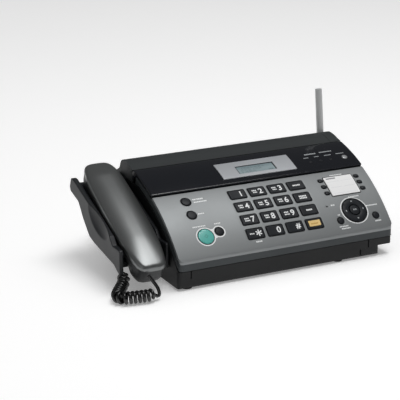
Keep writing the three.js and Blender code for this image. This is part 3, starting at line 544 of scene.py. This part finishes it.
dish = lambda u, v: -0.26 * (1 - np.clip(u / 8.7, -1, 1) ** 2) * (1 - 0.25 * np.clip(v / 4.8, -1, 1) ** 2)
NUM = {"key_star": "*", "key_hash": "#"}
for nm, x, th, o, kind in BUT:
    body = "b_" + nm
    fm = flat_map(x, th, R_KEY)
    if kind == "key":
        plate(nm + "_cap", o(0), (), fm, M["key"], body, "gold_key" if nm == "function_key_4" else "key_plastic", nm, depth=4.8, bev=0.95, seg=4, step=1.3, du=1.6, dv=1.6, hfun=dish)
        lift = lambda V, f=fm: f(np.stack([V[:, 0], V[:, 1], V[:, 2] + dish(V[:, 0], V[:, 1])], 1))
        if nm.startswith("key_"):
            ch = NUM.get(nm, nm[4:])
            V, F = text_mesh(ch, 16.5 if ch == "*" else 9.2 if ch == "#" else 9.8, 0.22)
            V = V + np.array([4.0, 0.1, -0.02])
            own(new_obj(nm + "_numeral", lift(V), F, M["white"], weighted=False), body)
            if ch in "23456789":
                boxes(nm + "_marks", dashes(-3.5, 1.5, [1.45, 1.55, 1.45], gap=0.4, h=1.75) + dashes(-3.1, -1.2, [1.3, 1.5, 1.3] if ch not in "79" else [1.2, 1.25, 1.25, 1.2], gap=0.4, h=1.6), lift, M["white"], body, bottom=-0.1)
            if ch == "*":
                boxes(nm + "_marks", dashes(-4.2, 0.0, [1.2, 1.2, 0.5, 1.2], gap=0.4, h=1.5), lift, M["white"], body, bottom=-0.1)
        elif nm != "function_key_4":
            rows = {"1": [(0.0, 5)], "2": [(1.3, 5), (-1.3, 5)], "3": [(0.0, 4)]}[nm[-1]]
            boxes(nm + "_marks", [b for v, k in rows for b in dashes(0.4, v, [1.5] * k, gap=0.4, h=1.9)], lift, M["white"], body, bottom=-0.1)
        else:
            plate(nm + "_field", rrect(14.4, 6.9, 0.9, 6, 0.2, 0.4), (), lambda V, f=lift: f(V + np.array([0, 0, 0.07])), M["gold"], body, depth=0.3, bev=0.06, seg=2, step=1.2, du=1.5, dv=1.5)
            boxes(nm + "_marks", dashes(0.0, 0.0, [1.1] * 6, gap=0.4, h=1.4), lambda V, f=lift: f(V + np.array([0, 0, 0.07])), material("gold_shade", srgb(196, 150, 70), 0.45, 0.2, grain=2400, bump=0.05), body, bottom=-0.05)
    elif kind in ("round", "green"):
        r = {"start_button": 8.8, "caller_button": 5.3, "stop_button": 5.2, "copy_button": 4.8}.get(nm, 3.8)
        dome = lambda u, v, q=r: 0.42 * (1 - (u * u + v * v) / (q * q))
        plate(nm + "_cap", o(0), (), fm, M["green" if kind == "green" else "key"], body, "green_button" if kind == "green" else "key_plastic", nm, depth=4.8, bev=0.8 if r > 4 else 0.6, seg=4, step=0.7, du=1.0, dv=1.0, hfun=dome)
        if kind == "green":
            lf = lambda V, f=fm: f(np.stack([V[:, 0], V[:, 1], V[:, 2] + dome(V[:, 0], V[:, 1]) + 0.05], 1))
            sq = math.sqrt(0.5) * 2.3
            plate(nm + "_mark", [(0, 2.3), (-2.3, 0), (0, -2.3), (2.3, 0)], [[(0, 1.6), (-1.6, 0), (0, -1.6), (1.6, 0)]], lf, material("green_print", srgb(62, 134, 122), 0.4, 0.0, grain=2000, bump=0.05), body, depth=0.2, bev=0.02, seg=1, step=0.6, du=1, dv=1)
            plate("start_button_collar", circle(9.66, 60), [circle(9.0, 60)], flat_map(x, th, R_PANEL + 0.12), M["black"], "panel", depth=0.9, bev=0.15, seg=2, step=1.0, du=2, dv=2)
        else:
            plate(nm + "_collar", circle(r + (0.9 if r > 4 else 0.7), 48), [circle(r + 0.35, 48)], flat_map(x, th, R_PANEL + 0.12), M["black"], "panel", depth=0.9, bev=0.12, seg=2, step=1.0, du=2, dv=2)
    else:
        plate(nm + "_cap", o(0), (), fm, M["key"], body, "key_plastic", nm, depth=4.8, bev=0.6, seg=3, step=0.6, du=1.0, dv=1.0, hfun=lambda u, v: 0.25 * (1 - (u / 2.9) ** 2))
        plate(nm + "_collar", rrect(7.2, 5.4, 2.5), [rrect(6.3, 4.5, 2.05)], flat_map(x, th, R_PANEL + 0.12), M["black"], "panel", depth=0.9, bev=0.12, seg=2, step=0.8, du=2, dv=2)
# black collars round the rectangular keys
for nm, x, th, o, kind in BUT:
    if kind == "key":
        plate(nm + "_collar", o(0.95), [o(0.38)], flat_map(x, th, R_PANEL + 0.16), M["black"], "panel", depth=1.0, bev=0.14, seg=2, step=1.2, du=2, dv=2)

fm = flat_map(*NAV, R_KEY)
rad = lambda u, v: np.sqrt(u * u + v * v)
plate("navigation_dial", circle(14.6, 84), [circle(6.6, 48)], fm, M["key"], "b_navigation_ring", "key_plastic", "navigation_ring", depth=4.8, bev=0.9, seg=4, step=1.0, du=1.4, dv=1.4, hfun=lambda u, v: 0.45 * np.sin(np.clip((rad(u, v) - 6.6) / 8.0, 0, 1) * math.pi))
plate("navigation_push", circle(6.0, 48), (), flat_map(*NAV, R_KEY + 0.4), M["key"], "b_navigation_centre", "key_plastic", "navigation_centre", depth=5.2, bev=0.8, seg=4, step=0.8, du=1, dv=1, hfun=lambda u, v: 0.3 * (1 - (u * u + v * v) / 36))
plate("navigation_collar", circle(15.5, 84), [circle(14.95, 84)], flat_map(*NAV, R_PANEL + 0.3), M["black"], "panel", depth=1.0, bev=0.12, seg=2, step=1.2, du=3, dv=3)
boxes("navigation_push_marks", dashes(0, 0.1, [1.1, 1.0, 1.1], gap=0.4, h=1.7), lambda V: flat_map(*NAV, R_KEY + 0.4)(V + np.array([0, 0, 0.3])), M["faint"], "b_navigation_centre", bottom=-0.1)
for i in range(4):
    a0 = i * math.pi / 2
    rot = lambda p: (p[0] * math.cos(a0) - p[1] * math.sin(a0), p[0] * math.sin(a0) + p[1] * math.cos(a0))
    plate(f"navigation_arrow_{i + 1}", [rot(p) for p in ((11.9, 0), (10.2, 1.3), (10.2, -1.3))], (), lambda V: fm(V + np.array([0, 0, 0.47])), M["faint"], "b_navigation_ring", depth=0.2, bev=0.02, seg=1, step=1, du=1, dv=1)

# ------------------------------------------------------------------ glossy band, display
AX = arc(12.6, 202.5)
prof = arcs(24.1, 12.6, R_BAND, 24)
prof += [(AX[0] + 4.5 * math.cos((102.6 - 12.0 * k) * D), AX[1] + 4.5 * math.sin((102.6 - 12.0 * k) * D)) for k in range(1, 22)]
prof += arcs(14.1, 25.45, 202.7, 16)
prof += [arc(25.5, 203.0), arc(25.5, 206.2), arc(25.49, 206.4), arc(25.45, 206.62), arc(25.38, 206.8), arc(25.28, 206.92), arc(25.1, 206.98)]
sweep("band_face", prof, -103.2, 160.5, M["gloss"], "panel", "gloss_band", "display_band", bev=0.9, step=8.0)
bm = face_map(R_BAND)
bv = lambda th: pv(th, R_BAND)
fw = lambda R: face_map(R)
plate("display_plate", rrect(92.2, bv(15.9) - bv(23.5), 0.5, 4, 32.9, (bv(15.9) + bv(23.5)) / 2), [rrect(47.4, bv(18.35) - bv(22.15), 0.6, 4, 32.3, (bv(18.35) + bv(22.15)) / 2)], lambda V: face_map(R_BAND)(V + np.array([0, 0, 1.05])), M["plate"], "panel", "plate_silver", "display_surround", depth=1.1, bev=0.22, seg=3, step=1.8, du=6, dv=3)
plate("display_glass", rrect(46.9, bv(18.4) - bv(22.1), 0.4, 4, 32.3, (bv(18.4) + bv(22.1)) / 2), (), lambda V: face_map(R_BAND)(V + np.array([0, 0, 0.3])), M["lcd"], "panel", "display_glass", "display_window", depth=0.4, bev=0.08, seg=2, step=1.8, du=6, dv=3)
# painted shadow: a thin black frame on the display glass, a little wider at the top than at the bottom, stands for the
# shadow of the recessed window's edges
plate("display_painted_shadow_frame", rrect(47.3, bv(18.36) - bv(22.14), 0.5, 4, 32.3, (bv(18.36) + bv(22.14)) / 2), [rrect(45.2, bv(18.36) - bv(22.14) - 1.6, 0.3, 4, 32.3, (bv(18.4) + bv(22.1)) / 2 - 0.1)], lambda V: face_map(R_BAND)(V + np.array([0, 0, 0.36])), M["black"], "panel", depth=0.3, bev=0.03, seg=1, step=1.8, du=6, dv=3)
fm = flat_map(146.1, 21.07, R_BAND + 0.6)
plate("band_push", circle(3.3, 40), (), fm, M["silver"], "b_band_button", "grey_trim", "band_button", depth=3.2, bev=0.55, seg=4, step=0.6, du=1, dv=1, hfun=lambda u, v: 0.3 * (1 - (u * u + v * v) / 11))
plate("band_push_collar", circle(4.3, 40), [circle(3.5, 40)], flat_map(146.1, 21.07, R_BAND + 0.12), M["black"], "panel", depth=0.6, bev=0.1, seg=2, step=0.8, du=2, dv=2)
for i, x in enumerate((101.3, 114.7, 127.5)):
    plate(f"indicator_{i + 1}", rrect(3.0, 2.2, 0.9, 5), (), flat_map(x, 21.1, R_BAND + 0.14), material(f"indicator_lens_{i + 1}", srgb(34, 36, 40), 0.15, 0.0, coat=0.8, grain=900, bump=0.0, var=0.2), "panel", depth=0.4, bev=0.12, seg=3, step=0.5, du=0.8, dv=0.8, hfun=lambda u, v: 0.1 * (1 - (u / 1.6) ** 2))
    plate(f"indicator_{i + 1}_rim", rrect(3.7, 2.9, 1.2, 5), [rrect(3.04, 2.24, 0.92, 5)], flat_map(x, 21.1, R_BAND + 0.06), M["black"], "panel", depth=0.3, bev=0.05, seg=2, step=0.5, du=1, dv=1)
bmarks = []
for x, k in ((99.5, 5), (113.2, 5), (127.8, 7), (144.0, 8)):
    bmarks += dashes(x, bv(18.9), [0.95] * k, gap=0.35, h=1.25)
bmarks += dashes(108.0, bv(17.15), [1.7] * 7, gap=0.45, h=2.0) + dashes(128.5, bv(17.0), [1.25] * 10, gap=0.4, h=1.7)
boxes("band_print", bmarks, bm, M["faint"], "panel")
gm = lambda V: face_map(R_BAND)(V + np.array([0, 0, 0.33]))
seg = []
for v, n in ((bv(19.45), 14), (bv(20.35), 12), (bv(21.3), 9)):
    for k in range(n):
        if (k * 5 + n) % 7:
            u = 13.2 + 2.25 * k
            seg += [(u, u + 1.5, v + 0.75, v + 1.0), (u, u + 1.5, v - 1.0, v - 0.75), (u + (0.0 if k % 2 else 1.25), u + (0.25 if k % 2 else 1.5), v - 0.7, v + 0.7)]
seg += [(46.5 + 2.0 * k, 47.9 + 2.0 * k, bv(21.5) - 0.5, bv(21.5) + 0.6) for k in range(3)]
boxes("display_segments", seg, gm, material("display_segment", srgb(96, 112, 116), 0.3, 0.0, grain=1800, bump=0.02, var=0.1), "panel", top=0.06, bottom=-0.1)

# one-touch card
cm = lambda V: face_map(R_PANEL)(V + np.array([0, 0, 0.62]))
cv0, cv1 = pv(28.7), pv(36.1)
plate("card_sheet", rrect(36.0, cv0 - cv1, 0.6, 4, 120.9, (cv0 + cv1) / 2), (), cm, M["card"], "panel", "card_white", "directory_card", depth=0.5, bev=0.08, seg=2, step=1.8, du=6, dv=3)
plate("card_frame", rrect(38.0, cv0 - cv1 + 2.0, 1.2, 5, 120.9, (cv0 + cv1) / 2), [rrect(36.2, cv0 - cv1 + 0.2, 0.7, 4, 120.9, (cv0 + cv1) / 2)], lambda V: face_map(R_PANEL)(V + np.array([0, 0, 0.3])), M["black"], "panel", depth=0.8, bev=0.12, seg=2, step=1.8, du=6, dv=3)
rows = [(104.6, 120.4, v - 0.09, v + 0.09) for v in np.linspace(cv0 - 7.2, cv1 + 2.6, 3)] + [(122.2, 137.2, v - 0.09, v + 0.09) for v in np.linspace(cv0 - 7.2, cv1 + 2.6, 3)]
boxes("card_lines", rows, cm, material("card_line_print", srgb(206, 207, 212), 0.6, 0.0, grain=2400, bump=0.1), "panel", top=0.03, bottom=-0.1)
boxes("card_heading", [(105.4, 117.5, cv0 - 3.4, cv0 - 1.5)], cm, material("card_head_print", srgb(150, 150, 152), 0.6, 0.0, grain=2400, bump=0.1), "panel", top=0.03, bottom=-0.1)

# ------------------------------------------------------------------ handset
def hand_plan(t, W, A):
    c, s = math.cos(t), math.sin(t)
    e = 2.5 if s < 0 else 3.4
    return W * math.copysign(abs(c) ** (2 / 5.2), c), A * math.copysign(abs(s) ** (2 / e), s)


def crown(x, s):
    x = min(abs(x), 22.0)
    near_end, far_end = max(0.0, -s - 40) / 43, max(0.0, s - 58) / 25
    return 2.6 * (1 - (s / 83) ** 2) + 6.2 * (1 - (x / 22) ** 2.6) * (1 - far_end * 0.5) * (1 - 0.35 * near_end ** 1.5) - 1.3 * near_end ** 2.4 - 1.2 * far_end ** 2


def smooth01(x):
    x = min(1.0, max(0.0, x))
    return x * x * (3 - 2 * x)


ts = []
N = 144
for i in range(N):                    # evenly spaced along the outline
    ts.append(2 * math.pi * i / N)
dense = np.array([hand_plan(2 * math.pi * i / 4000, 21.5, 83) for i in range(4000)])
cum = np.concatenate([[0], np.cumsum(np.linalg.norm(np.diff(np.vstack([dense, dense[:1]]), axis=0), axis=1))])
ts = [2 * math.pi * np.interp(cum[-1] * i / N, cum, np.arange(4001)) / 4000 for i in range(N)]
V, F, rings = [], [], []
def fillet_r(s):
    return 1.4 + 3.3 * smooth01((-s - 40) / 42) + 1.2 * smooth01((s - 60) / 20)
ins = [0, 0.12, 0.4, 0.8, 1.3, 1.9, 2.7, 3.6, 5, 7, 9.5, 12.5, 15.5, 18.5]
V += [(*hand_plan(t, 21.1, 82.6), -3.0) for t in ts]            # underside rim
V += [(*hand_plan(t, 21.5, 83), -2.6) for t in ts]
V += [(*hand_plan(t, 21.5, 83), crown(*hand_plan(t, 21.5, 83)) - fillet_r(hand_plan(t, 21.5, 83)[1]) if crown(*hand_plan(t, 21.5, 83)) - fillet_r(hand_plan(t, 21.5, 83)[1]) > -2.4 else -2.4) for t in ts]
for d in ins[1:]:
    for t in ts:
        x, s = hand_plan(t, 21.5 - d, 83 - d)
        q = fillet_r(hand_plan(t, 21.5, 83)[1])
        h = crown(x, s) - (q - math.sqrt(max(0, q * q - (q - min(d, q)) ** 2)))
        V.append((x, s, max(h, -2.3)))
nr = len(ins) + 2
for k in range(nr - 1):
    F += [(k * N + i, k * N + (i + 1) % N, (k + 1) * N + (i + 1) % N, (k + 1) * N + i) for i in range(N)]
last = (nr - 1) * N                       # close the strip in the middle
F += [(last + i, last + i + 1, last + (N // 2 - i - 1), last + (N // 2 - i)) for i in range(N // 4)] if False else []
mid = [last + i for i in range(N)]
j0, j1 = 0, N // 2
for i in range(N // 2):
    a_, b_ = mid[(N // 4 + i) % N], mid[(N // 4 + i + 1) % N]
    c_, d_ = mid[(N // 4 - i - 1) % N], mid[(N // 4 - i) % N]
    if len({a_, b_, c_, d_}) == 4:
        F.append((a_, b_, c_, d_))
    elif len({a_, b_, c_, d_}) == 3:
        q = []
        for w in (a_, b_, c_, d_):
            if w not in q:
                q.append(w)
        F.append(tuple(q))
F.append(tuple(range(N))[::-1])
top = new_obj("handset_top", hs_map(V), F, M["handset"], sharp=55)
own(top, "handset", "handset_top_shell")

bellypts = [(-83, -3.35), (-82.6, -8), (-81.6, -16), (-79.5, -21.5), (-76, -24.2), (-70, -24.6), (-64.5, -24.0), (-61, -20.5), (-57.5, -16.2), (-52, -14.2), (-40, -13.2), (0, -12.4), (38, -13.9), (43.5, -14.6), (46.5, -17.2), (50, -19.9), (56, -20.4), (76, -20.4), (79, -18.6), (81, -14.6), (82.2, -9.6), (82.6, -3.35)]
bs, bh = np.array([p[0] for p in bellypts]), np.array([p[1] for p in bellypts])
st = 82.4 * np.sin(np.linspace(-math.pi / 2, math.pi / 2, 90))
V, F, n = [], [], 26
for s in st:
    e = 2.5 if s < 0 else 3.4
    w = 20.9 * max(0.0, 1 - abs(s / 82.4) ** e) ** (1 / 5.2)
    w = max(w, 0.6)
    dpt = -3.35 - float(np.interp(s, bs, bh))
    dpt = max(0.4, dpt)
    for k in range(n + 1):
        p = math.pi * k / n
        c, q = math.cos(p), math.sin(p)
        V.append((-w * math.copysign(abs(c) ** (2 / 4.5), c), s, -3.35 - dpt * abs(q) ** (2 / 4.5)))
m = n + 1
for i in range(len(st) - 1):
    F += [(i * m + k, i * m + k + 1, (i + 1) * m + k + 1, (i + 1) * m + k) for k in range(n)]
    F.append((i * m, (i + 1) * m, (i + 1) * m + n, i * m + n))
F.append(tuple(range(m))[::-1])
F.append(tuple((len(st) - 1) * m + k for k in range(m)))
low = new_obj("handset_bottom", hs_map(V), F, M["handset_low"], sharp=50)
own(low, "handset", "handset_lower_shell")
# recessed seam between the shells
V = [(*hand_plan(t, 20.7, 82.2), h) for h in (-3.5, -2.85) for t in ts]
F = [(i, (i + 1) % N, N + (i + 1) % N, N + i) for i in range(N)] + [tuple(range(N))[::-1], tuple(N + i for i in range(N))]
own(new_obj("handset_seam", hs_map(V), F, M["black"], weighted=False), "handset")

# ------------------------------------------------------------------ refined copies of CAD nodes
def refine(node, mat, bevel=0.5, seg=2, angle=30, name=None, sharp=30):
    src = frame["nodes"][node]
    bm_ = bmesh.new(); bm_.from_mesh(src.data)
    bmesh.ops.remove_doubles(bm_, verts=bm_.verts, dist=2e-6)
    bmesh.ops.dissolve_limit(bm_, angle_limit=0.4 * D, verts=bm_.verts, edges=bm_.edges)
    if bevel > 0:
        es = [e for e in bm_.edges if len(e.link_faces) == 2 and e.calc_face_angle(0) > angle * D]
        bmesh.ops.bevel(bm_, geom=es, offset=bevel * K, offset_type="OFFSET", segments=seg, profile=0.5, affect="EDGES", clamp_overlap=True, miter_outer="ARC")
    if node in ("top_cover", "cover_end"):        # the crest of the rear cover reaches a little further back
        for v in bm_.verts:
            y, q = v.co.y / K, min(1.0, max(0.0, (v.co.z / K - 88.3) / 10))
            v.co.y += 1.4 * K * min(1.0, max(0.0, (y - 38) / 5)) * q
            v.co.z += 1.7 * K * math.sin(math.pi * min(1.0, max(0.0, (y - 21) / 34))) * q
    bmesh.ops.recalc_face_normals(bm_, faces=bm_.faces)
    me = bpy.data.meshes.new(name or node + "_shell")
    bm_.to_mesh(me); bm_.free()
    me.materials.clear(); me.materials.append(mat)
    me.polygons.foreach_set("material_index", [0] * len(me.polygons))
    me.polygons.foreach_set("use_smooth", [True] * len(me.polygons))
    me.set_sharp_from_angle(angle=sharp * D)
    ob = bpy.data.objects.new(name or node + "_shell", me)
    scene.collection.objects.link(ob)
    w = ob.modifiers.new("normals", "WEIGHTED_NORMAL"); w.keep_sharp = True
    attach(ob, BODY[node]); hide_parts(node)
    return ob


BODY = {n: b for b, ns in frame["record"]["behaviour"]["bodies"].items() for n in ns}


def remeshed(node, mat, voxel=0.7, smooth=4, name=None, keep=0.35):
    src = frame["nodes"][node]
    ob = bpy.data.objects.new(name or node + "_moulding", src.data.copy())
    scene.collection.objects.link(ob)
    r = ob.modifiers.new("r", "REMESH"); r.mode, r.voxel_size, r.adaptivity = "VOXEL", voxel * K, 0.0
    s = ob.modifiers.new("s", "SMOOTH"); s.factor, s.iterations = 0.5, smooth
    if keep < 1:
        d = ob.modifiers.new("d", "DECIMATE"); d.ratio = keep
    dg = bpy.context.evaluated_depsgraph_get(); dg.update()
    me = bpy.data.meshes.new_from_object(ob.evaluated_get(dg))
    me.name = ob.name
    ob.modifiers.clear()
    ob.data = me
    me.materials.clear(); me.materials.append(mat)
    me.polygons.foreach_set("material_index", [0] * len(me.polygons))
    me.polygons.foreach_set("use_smooth", [True] * len(me.polygons))
    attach(ob, BODY[node]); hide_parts(node)
    return ob


remeshed("handset_cradle", M["cradle"], 0.75, 4)
for node, mat, bev in (("lower_cabinet", "cabinet", 0.7), ("panel_frame", "skirt", 0.6), ("top_cover", "cover", 0.6), ("cover_end", "cover", 0.6), ("hook_switch", "black", 0.5),
                       ("paper_roll", "paper", 0.4), ("platen_roller", "rubber", 0.25), ("feed_roller", "rubber", 0.25), ("thermal_head", "steel", 0.5), ("image_sensor", "black", 0.5),
                       ("main_board", "pcb", 0.15), ("power_board", "pcb", 0.15), ("switch_board", "pcb", 0.15), ("drive_motor", "steel", 0.5), ("speaker", "cone", 0.6),
                       ("line_jacks", "black", 0.4), ("power_inlet", "black", 0.4), ("document_guide_left", "black", 0.4), ("document_guide_right", "black", 0.4)):
    refine(node, M[mat], bev)

# antenna
R7 = Matrix.Translation((154.3, 50.6, 91.0)) @ Matrix.Rotation(-7 * D, 4, "X")
lathe("antenna_rod", [(3.3, 5.2), (3.9, 5.3), (4.2, 5.7), (4.2, 7.2), (4.1, 7.4), (4.1, 7.7), (4.18, 7.9), (4.12, 20), (4.06, 40), (4.0, 63.0), (3.9, 63.2), (3.9, 63.5), (4.0, 63.7), (3.98, 64.6), (3.8, 65.1), (3.4, 65.3), (1.5, 65.35)], 32, R7, M["antenna"], "antenna_arm", "antenna")
V, F = plate_mesh([(2.2, 0), (2.2, 5.4), (-2.2, 5.4), (-2.2, 0)] + [(2.9 * math.cos(a), 2.9 * math.sin(a)) for a in (math.pi + 0.1 + (math.pi - 0.2) * k / 14 for k in range(15))], (), depth=4.0, bev=0.3, bevb=0.3, seg=2, step=1.2, du=1.5, dv=1.5)
V = [R7 @ Vector((2.0 + h, u, v)) for u, v, h in V]
own(new_obj("antenna_knuckle", V, F, M["antenna"]), "antenna_arm")

# ------------------------------------------------------------------ floor and light
def stage_plane():
    me = bpy.data.meshes.new("floor")
    n, V, F = 24, [], []
    for i in range(n + 1):
        for j in range(n + 1):
            V.append((-9 + 18 * i / n, -9 + 18 * j / n, 0.0))
    for i in range(n):
        for j in range(n):
            F.append((i * (n + 1) + j, (i + 1) * (n + 1) + j, (i + 1) * (n + 1) + j + 1, i * (n + 1) + j + 1))
    me.from_pydata(V, [], F)
    me.materials.append(M["floor"])
    ob = bpy.data.objects.new("floor", me)
    scene.collection.objects.link(ob)


stage_plane()


def light(name, loc, target, size, power, size_y=None, col=(1, 1, 1)):
    d = bpy.data.lights.new(name, "AREA")
    d.shape, d.size, d.size_y, d.energy, d.color = "RECTANGLE", size, size_y or size, power, col
    o = bpy.data.objects.new(name, d)
    scene.collection.objects.link(o)
    o.location = loc
    o.rotation_euler = (Vector(target) - Vector(loc)).to_track_quat("-Z", "Y").to_euler()
    return o


light("overhead", (0.26, -0.34, 1.9), (0, 0, 0.05), 1.45, 18, 0.68)
light("left_fill", (-1.8, -1.0, 0.9), (0, 0, 0.05), 1.2, 1.6)
wash = light("floor_wash", (0.3, 1.2, 3.2), (0.3, 1.2, 0), 6.0, 66)
wash.visible_glossy = False
glow = M["floor"].node_tree.nodes["Principled BSDF"]
glow.inputs["Emission Color"].default_value = (1, 1, 1, 1)
glow.inputs["Emission Strength"].default_value = 0.25
world = bpy.data.worlds.new("studio") if not bpy.data.worlds else bpy.data.worlds[0]
scene.world = world
world.use_nodes = True
bg = world.node_tree.nodes.get("Background") or world.node_tree.nodes.new("ShaderNodeBackground")
bg.inputs["Color"].default_value = (1, 1, 1, 1)
bg.inputs["Strength"].default_value = 0.11
scene.view_settings.view_transform = "Standard"
